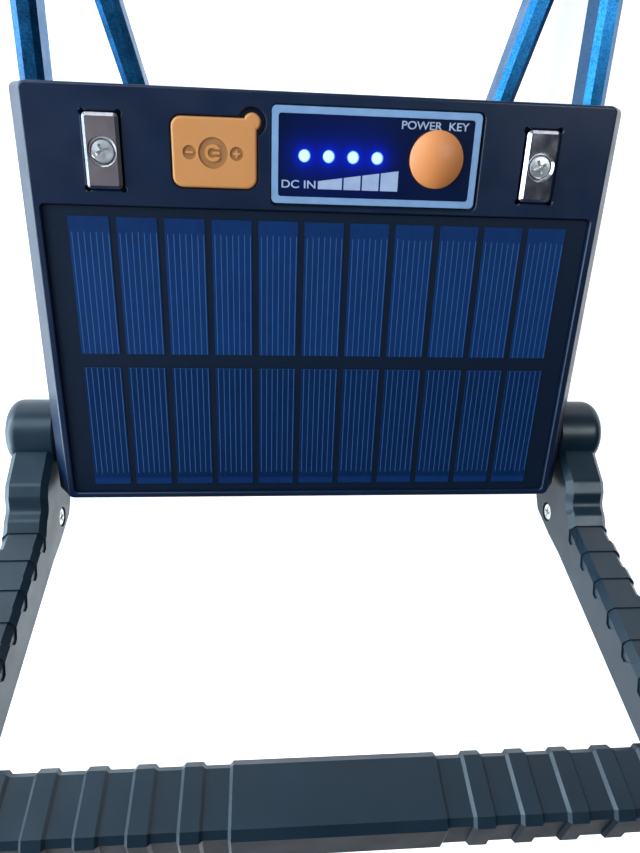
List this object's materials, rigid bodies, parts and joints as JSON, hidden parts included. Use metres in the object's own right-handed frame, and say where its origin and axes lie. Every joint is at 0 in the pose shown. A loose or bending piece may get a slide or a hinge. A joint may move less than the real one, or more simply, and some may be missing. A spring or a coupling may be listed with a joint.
{
  "type": "solar flood light",
  "caption": "Flat rechargeable flood light with a solar panel, controls and magnets on its back, a carry frame and a ribbed swing stand.",
  "frame": {"origin": "middle of the whole object's footprint, on the plane of the front frame's face", "axes": "+X right seen from the solar side, +Y towards the carry grip, +Z out of the solar panel"},
  "size_m": [0.2148, 0.2798, 0.1359],
  "materials": {
    "housing_plastic": "fine satin moulding",
    "panel_backsheet": "satin laminate",
    "solar_silicon": "polycrystalline blue",
    "clear_resin": "clear gloss",
    "silver_plate": "silver print under gloss",
    "led_clear": "clear epoxy",
    "orange_silicone": "soft matt",
    "black_plastic": "plain moulding",
    "plated_steel": "zinc plated",
    "nickel_plate": "bright nickel",
    "screw_steel": "nickel plated",
    "circuit_board": "solder mask",
    "ferrite": "matt ferrite",
    "battery_wrap": "shrink sleeve",
    "lead_insulation": "soft PVC",
    "bare_aluminium": "mill finish",
    "white_board": "white solder mask",
    "emitter_phosphor": "phosphor",
    "white_reflector": "white gloss",
    "black_rubber": "matt",
    "clear_lens": "clear gloss",
    "blue_aluminium": "metallic blue lacquer",
    "insert_brass": "turned",
    "nylon": "natural",
    "spring_steel": "oiled",
    "stand_plastic": "satin moulding, blue-grey black"
  },
  "bodies": {
    "lamp": {"rear_housing": "housing_plastic", "solar_backsheet": "panel_backsheet", "solar_cells": "solar_silicon", "panel_resin": "clear_resin", "control_plate": "silver_plate", "indicator_leds": "led_clear", "switch_body": "black_plastic", "usb_socket": "plated_steel", "charge_socket": "plated_steel", "magnets": "nickel_plate", "magnet_screws": "screw_steel", "main_board": "circuit_board", "board_screws": "screw_steel", "board_chips": "black_plastic", "power_coil": "ferrite", "battery_cells": "battery_wrap", "battery_cradle": "black_plastic", "battery_contacts": "plated_steel", "battery_leads": "lead_insulation", "lamp_leads": "lead_insulation", "panel_leads": "lead_insulation", "heat_sink": "bare_aluminium", "sink_screws": "screw_steel", "led_board": "white_board", "led_emitters": "emitter_phosphor", "reflector": "white_reflector", "lens_gasket": "black_rubber", "front_lens": "clear_lens", "front_frame": "blue_aluminium", "carry_grip": "black_rubber", "frame_screws": "screw_steel", "thread_inserts": "insert_brass", "pivot_brackets": "plated_steel", "pivot_nuts": "plated_steel", "pivot_bolts": "plated_steel", "friction_washers": "nylon", "flat_washers": "plated_steel", "disc_springs": "spring_steel"},
    "stand": {"knuckle_left": "stand_plastic", "knuckle_right": "stand_plastic", "hub_caps": "stand_plastic", "arm_screws": "screw_steel", "stand_grip": "stand_plastic"},
    "button": {"power_button": "orange_silicone"},
    "plunger": {"switch_plunger": "black_plastic"},
    "cover": {"port_cover": "orange_silicone"}
  },
  "joints": [
    {"name": "stand_hinge", "type": "hinge", "parent": "lamp", "child": "stand", "pos_m": [0, -0.07224, 0.0174], "axis": [1, 0, 0], "range_deg": [-104, 125]},
    {"name": "button_press", "type": "slide", "parent": "lamp", "child": "button", "axis": [0, 0, -1], "range_m": [0, 0.0009], "stiffness_N_per_m": 800},
    {"name": "plunger_press", "type": "slide", "parent": "lamp", "child": "plunger", "axis": [0, 0, -1], "range_m": [0, 0.0009]},
    {"name": "cover_hinge", "type": "hinge", "parent": "lamp", "child": "cover", "pos_m": [-0.04465, 0.02246, 0.03635], "axis": [0, -1, 0], "range_deg": [0, 150]}
  ],
  "couplings": [
    {"joint": "plunger_press", "follows": "button_press", "ratio": 1}
  ]
}
